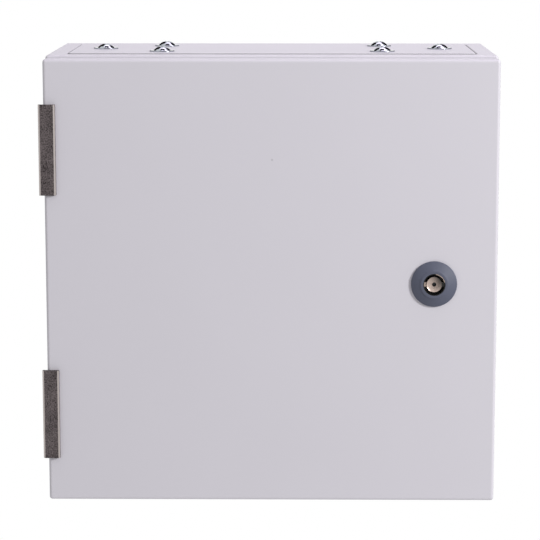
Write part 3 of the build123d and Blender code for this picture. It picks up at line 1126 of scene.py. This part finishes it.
@dataclass
class MountingPanel(Assembly):
    """The galvanised equipment plate on its four studs."""

    plate_edge: float = 0.4 * MM
    sleeve_edge: float = 0.3 * MM

    def build(self) -> None:
        """Make the plate, the sleeves, the threaded studs and their nuts."""
        self.soften(GalvanisedSheet(), self.plate_edge, "mounting_plate")
        self.soften(BrightZinc(), self.sleeve_edge, "mounting_spacers")
        low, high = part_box("mounting_studs")
        stud = ThreadedRod(high.y - low.y)
        sides_x = (low.x + stud.radius, high.x - stud.radius)
        sides_z = (low.z + stud.radius, high.z - stud.radius)
        feet = [Vector((x, high.y, z)) for x in sides_x for z in sides_z]
        self.stamp(stud, "mounting_studs", feet, Stand.FORWARD, BrightZinc())
        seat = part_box("mounting_nuts")[1].y
        seats = [Vector((foot.x, seat, foot.z)) for foot in feet]
        self.stamp(HexNut(), "mounting_nuts", seats, Stand.FORWARD, BrightZinc())


@dataclass
class EarthPoint(Assembly):
    """A welded earth stud with its flange nut."""

    place: str
    stand: Stand

    def build(self) -> None:
        """Make the threaded stud and its nut."""
        stud, nut = self.place + "_earth_stud", self.place + "_earth_nut"
        low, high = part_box(stud)
        foot = (low + high) / 2
        if self.stand is Stand.UP:
            foot.z = low.z
        else:
            foot.y = low.y
        self.stamp(ThreadedRod(max(high - low)), stud, [foot], self.stand, BrightZinc())
        self.stamp(HexNut(), nut, [foot], self.stand, BrightZinc())


@dataclass
class HingeSide(Assembly):
    """One side of the two hinges: its leaves, the pins that go with them and its nuts."""

    leaf: str
    nuts: str
    with_pins: bool
    edge: float = 0.25 * MM
    pin_edge: float = 0.15 * MM
    stud_spacing: float = 36 * MM
    nut: HexNut = HexNut(flats=7 * MM, height=3.2 * MM, bore=2.05 * MM, flange_height=0.0)
    slant: tuple[float, float] = (0.52, 0.68)
    level: float = 0.1

    def build(self) -> None:
        """Round the leaves, mark their front bevels as worn and painted highlight, and make the nuts."""
        spots = []
        low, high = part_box(self.nuts)
        for level in ("upper", "lower"):
            node = f"{level}_hinge_{self.leaf}"
            mesh = softened(node, self.edge)
            self.wear_and_highlight(mesh)
            self.add(mesh, HingeMetal(), node)
            if self.with_pins:
                self.soften(BrightZinc(), self.pin_edge, f"{level}_hinge_pin")
            middle = sum(corner.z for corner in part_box(node)) / 2
            for side in (-1, 1):
                height = middle + side * self.stud_spacing / 2
                spots.append(Vector((low.x, (low.y + high.y) / 2, height)))
        self.stamp(self.nut, self.nuts, spots, Stand.RIGHT, BrightZinc())

    def wear_and_highlight(self, mesh: Mesh) -> None:
        """Mark the bevelled faces in front of the door to be made bright: partly wear, partly painted
        highlight.

        Args:
            mesh: The leaf's mesh.
        """
        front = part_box("door_panel")[0].y
        low, high = self.slant
        values = []
        for face in mesh.polygons:
            bevel = low < abs(face.normal.x) < high and abs(face.normal.z) < self.level
            # These faces take a painted highlight, partly wear.
            values.append(float(bevel and face.center.y < front))
        mesh.attributes.new(HingeMetal.wear_and_highlight_mask, "FLOAT", "FACE").data.foreach_set("value", values)


@dataclass
class Door(Assembly):
    """The folded door tray and the foam bead poured round its inside."""

    bead_width: float = 12 * MM
    bead_corner: float = 7.25 * MM

    def build(self) -> None:
        """Pour the foam bead."""
        low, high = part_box("door_gasket")
        size, foot = high - low, (low + high) / 2
        foot.y = low.y
        path = (size.x - self.bead_width, size.z - self.bead_width, self.bead_corner)
        bead = PouredBead(*path, self.bead_width, size.y)
        self.stamp(bead, "door_gasket", [foot], Stand.BACKWARD, FoamSeal())

    def dress(self) -> None:
        """Coat the door."""
        self.coat(PowderCoat(), "door_panel")


@dataclass
class LockBarrel(Assembly):
    """The lock's housing in the door, its seal and its large nut."""

    edge: float = 0.3 * MM
    nut_flats: float = 27 * MM
    nut_bore: float = 11.05 * MM
    collar: Collar = Collar(
        bore=9.0 * MM, radius=15.25 * MM, height=3.85 * MM, rim_height=1.2 * MM, bevel=0.35 * MM
    )
    lip: Washer = Washer(bore=6.85 * MM, radius=7.35 * MM, thickness=1.4 * MM, edge=0.1 * MM)
    lip_inset: float = 0.1 * MM
    # One arc of the lip is left bare of painted shade, so that it shows a painted highlight.
    painted_highlight_way: float = math.radians(49)
    painted_highlight_arc: float = math.radians(33)

    def build(self) -> None:
        """Round the housing, thicken its rim, line its mouth with a lip painted black as shade save one
        painted highlight arc, and make the nut.
        """
        self.soften(LockNylon(), self.edge, "lock_housing")
        low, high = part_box("lock_housing")
        foot = (low + high) / 2
        foot.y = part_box("door_panel")[0].y
        self.stamp(self.collar, "lock_housing", [foot], Stand.FORWARD, LockNylon())
        foot.y = low.y + self.lip_inset + self.lip.thickness
        self.stamp(self.lip, "lock_housing", [foot], Stand.FORWARD, NickelPlate())
        # Paint shade over the lip, all but the highlight arc.
        NickelPlate().spread(self.pieces[-1].data, foot, self.painted_shade_share)
        low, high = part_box("lock_nut")
        foot = (low + high) / 2
        foot.y = low.y
        nut = HexNut(self.nut_flats, high.y - low.y, self.nut_bore, flange_height=0.0)
        self.stamp(nut, "lock_nut", [foot], Stand.BACKWARD, BrightZinc())

    def painted_shade_share(self, reach: float, angle: float) -> float:
        """Give the share of painted shade at a place on the lip: black all round but for one arc left bare,
        a painted highlight.
        """
        return float(abs(angle - self.painted_highlight_way) > self.painted_highlight_arc)

    def dress(self) -> None:
        """Blacken the seal."""
        self.coat(SealRubber(), "lock_seal")


@dataclass
class LockSpindle(Assembly):
    """What turns with the key: the insert, the cam, and the washer and bolt that hold it."""

    insert_edge: float = 0.12 * MM
    cam_edge: float = 0.3 * MM
    small_edge: float = 0.15 * MM
    shade_depth: float = 1.0 * MM
    dish: DishedRing = DishedRing(
        bore=1.45 * MM, floor=4.2 * MM, crest=5.0 * MM, radius=5.2 * MM, dip=0.03 * MM, rise=0.45 * MM
    )
    # Way and shares of the painted shade that darkens the dished face towards the upper right.
    painted_shade_way: float = math.radians(38)
    painted_shade_shares: tuple[float, float, float] = (0.32, 0.52, 0.18)

    def build(self) -> None:
        """Round the turning pieces, paint shade into the key's well, onto the bit right of the post and
        across the post's face, and dish that face.
        """
        low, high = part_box("lock_insert")
        insert = softened("lock_insert", self.insert_edge)
        face = (low + high) / 2
        face.y = low.y
        painted_shade_share = []
        # Painted shade: faces deep in the key's well and the bit right of the post are blackened.
        for side in insert.polygons:
            place = side.center - face
            painted_shade_share.append(float(place.y > self.shade_depth or place.x > self.dish.radius))
        insert.attributes.new(NickelPlate.painted_shade, "FLOAT", "FACE").data.foreach_set("value", painted_shade_share)
        self.add(insert, NickelPlate(), "lock_insert")
        self.stamp(self.dish, "lock_insert", [face], Stand.FORWARD, NickelPlate())
        # Painted shade across the dished face.
        NickelPlate().spread(self.pieces[-1].data, face, self.painted_shade_share)
        self.soften(BrightZinc(), self.cam_edge, "lock_cam")
        self.soften(BrightZinc(), self.small_edge, "cam_washer", "cam_bolt")

    def painted_shade_share(self, reach: float, angle: float) -> float:
        """Give the share of painted shade at a place on the post, darker along one way across it."""
        along = reach * math.cos(angle - self.painted_shade_way) / self.dish.radius
        return sum(share * along**power for power, share in enumerate(self.painted_shade_shares))


@dataclass(frozen=True)
class Softbox:
    """A square lamp that faces the cabinet."""

    name: str
    place: tuple[float, float, float]
    size: float
    power: float
    colour: str = WHITE

    def hang(self, aim: Vector) -> None:
        """Hang the lamp.

        Args:
            aim: Point that the lamp faces.
        """
        lamp = bpy.data.lights.new(self.name, "AREA")
        lamp.shape = "SQUARE"
        lamp.size = self.size
        lamp.energy = self.power
        lamp.color = linear(self.colour)[:3]
        holder = new_object(self.name, lamp)
        holder.location = self.place
        holder.rotation_euler = (aim - holder.location).to_track_quat("-Z", "Y").to_euler()


@dataclass(frozen=True)
class Sheet:
    """A flat four-sided sheet of the studio."""

    name: str
    corners: tuple[tuple[float, float, float], ...]

    def lay(self, material: Material) -> Object:
        """Lay the sheet out in the scene.

        Args:
            material: Material of the sheet.

        Returns:
            The sheet.
        """
        mesh = bpy.data.meshes.new(self.name)
        mesh.from_pydata(self.corners, [], [range(len(self.corners))])
        mesh.materials.append(material)
        sheet = new_object(self.name, mesh)
        return sheet


@dataclass
class Studio:
    """White surroundings, soft lamps, dark cards for the metal and the photograph's camera."""

    ambient: float = 0.555
    floor_drop: float = 1.2
    floor_reach: float = 40.0
    floor_colour: str = "#F2F2F2"
    card_colour: str = "#0C0C0E"
    lamps: tuple[Softbox, ...] = (
        Softbox("key", place=(1.6, -1.3, 0.75), size=0.4, power=33.0),
        Softbox("top", place=(0.3, 0.1, 1.9), size=1.6, power=14.8, colour="#F4E6FF"),
    )
    cards: tuple[Sheet, ...] = (
        Sheet("left_card", ((-0.8, 0.4, -0.3), (-0.45, 1.6, -0.3), (-0.45, 1.6, 2.4), (-0.8, 0.4, 2.4))),
        Sheet("right_card", ((0.8, 0.4, -0.3), (0.45, 1.6, -0.3), (0.45, 1.6, 2.4), (0.8, 0.4, 2.4))),
        Sheet("high_card", ((-0.4, -0.35, 1.5), (0.4, -0.35, 1.5), (0.4, 0.2, 1.5), (-0.4, 0.2, 1.5))),
        Sheet("low_card", ((-0.8, -2.6, -1.2), (0.0, -2.6, -1.2), (0.0, -2.6, -0.25), (-0.8, -2.6, -0.25))),
        Sheet("band_card", ((-0.8, -2.6, -0.15), (0.4, -2.6, -0.15), (0.4, -2.6, 0.12), (-0.8, -2.6, 0.12))),
    )
    eye: tuple[float, float, float] = (15.7 * MM, -1564.3 * MM, 245.3 * MM)
    pitch: float = math.radians(9.479)
    yaw: float = math.radians(0.671)
    focal_pixels: float = 2160.3
    frame_pixels: float = 540.0

    def build(self) -> None:
        """Set up the surroundings, the lamps, the cards and the camera."""
        self.surround()
        self.lay_floor()
        aim = (CAD_BOX[0] + CAD_BOX[1]) / 2
        for lamp in self.lamps:
            lamp.hang(aim)
        self.stand_cards()
        self.place_camera()

    def white_for_eyes(self, node: AddNode, plain: Any, white: Any) -> Node:
        """Show white to the camera and in reflections, and the plain shader to all other light.

        Args:
            node: Adds a node to the tree of the world or of the floor.
            plain: Shader that lights and is lit.
            white: Shader that is seen.

        Returns:
            The mixed shader's node.
        """
        path = node("ShaderNodeLightPath").outputs
        seen = path["Is Camera Ray"]
        for ray in ("Is Glossy Ray", "Is Transmission Ray"):
            seen = node(MATH, [seen, path[ray]], "MAXIMUM")
        return node("ShaderNodeMixShader", [seen, plain, white])

    def surround(self) -> None:
        """Make the world white to look at and soft to be lit by."""
        world = bpy.data.worlds.new("white_studio")
        node = fresh_tree(world)
        soft = node("ShaderNodeBackground", [linear(WHITE), self.ambient])
        white = node("ShaderNodeBackground", [linear(WHITE), 1.0])
        node("ShaderNodeOutputWorld", [self.white_for_eyes(node, soft, white)])
        bpy.context.scene.world = world

    def lay_floor(self) -> None:
        """Lay the pale floor of the room, well below the wall-mounted cabinet."""
        material = bpy.data.materials.new("pale_floor")
        node = fresh_tree(material)
        pale = node("ShaderNodeBsdfDiffuse", [linear(self.floor_colour)])
        white = node("ShaderNodeEmission", [linear(WHITE), 1.0])
        node("ShaderNodeOutputMaterial", [self.white_for_eyes(node, pale, white)])
        reach, height = self.floor_reach, CAD_BOX[0].z - self.floor_drop
        sides = ((-1, -1), (1, -1), (1, 1), (-1, 1))
        Sheet("floor", tuple((sx * reach, sy * reach, height) for sx, sy in sides)).lay(material)

    def stand_cards(self) -> None:
        """Stand the dark cards, which show in reflections alone and give bright metal its edges."""
        material = bpy.data.materials.new("dark_card")
        node = fresh_tree(material)
        node("ShaderNodeOutputMaterial", [node("ShaderNodeEmission", [linear(self.card_colour), 1.0])])
        for card in self.cards:
            sheet = card.lay(material)
            sheet.visible_camera = False
            sheet.visible_diffuse = False
            sheet.visible_transmission = False
            sheet.visible_shadow = False

    def place_camera(self) -> None:
        """Set the camera where the photograph was taken from."""
        level = math.cos(self.pitch)
        ahead = Vector((-math.sin(self.yaw) * level, math.cos(self.yaw) * level, -math.sin(self.pitch)))
        camera = bpy.data.cameras.new("camera")
        camera.lens = camera.sensor_width * self.focal_pixels / self.frame_pixels
        holder = new_object("camera", camera)
        holder.location = self.eye
        holder.rotation_euler = ahead.to_track_quat("-Z", "Y").to_euler()
        bpy.context.scene.camera = holder
        bpy.context.scene.view_settings.view_transform = "Standard"


def main() -> None:
    """Build every sub-assembly, then the studio, and report the pieces."""
    logging.basicConfig(level=logging.INFO, format="%(message)s")
    assemblies = [
        SheetBox(Body.CABINET),
        GlandFasteners(Body.CABINET),
        MountingPanel(Body.CABINET),
        EarthPoint(Body.CABINET, "body", Stand.UP),
        HingeSide(Body.CABINET, "body_leaf", "hinge_body_nuts", True),
        Door(Body.DOOR),
        EarthPoint(Body.DOOR, "door", Stand.BACKWARD),
        HingeSide(Body.DOOR, "door_leaf", "hinge_door_nuts", False),
        LockBarrel(Body.DOOR),
        LockSpindle(Body.SPINDLE),
    ]
    for assembly in assemblies:
        assembly.build()
        assembly.dress()
        for piece in assembly.pieces:
            LOG.info("%s: %s, %d faces", type(assembly).__name__, piece.name, len(piece.data.polygons))
    Studio().build()


if __name__ == "__main__":
    main()
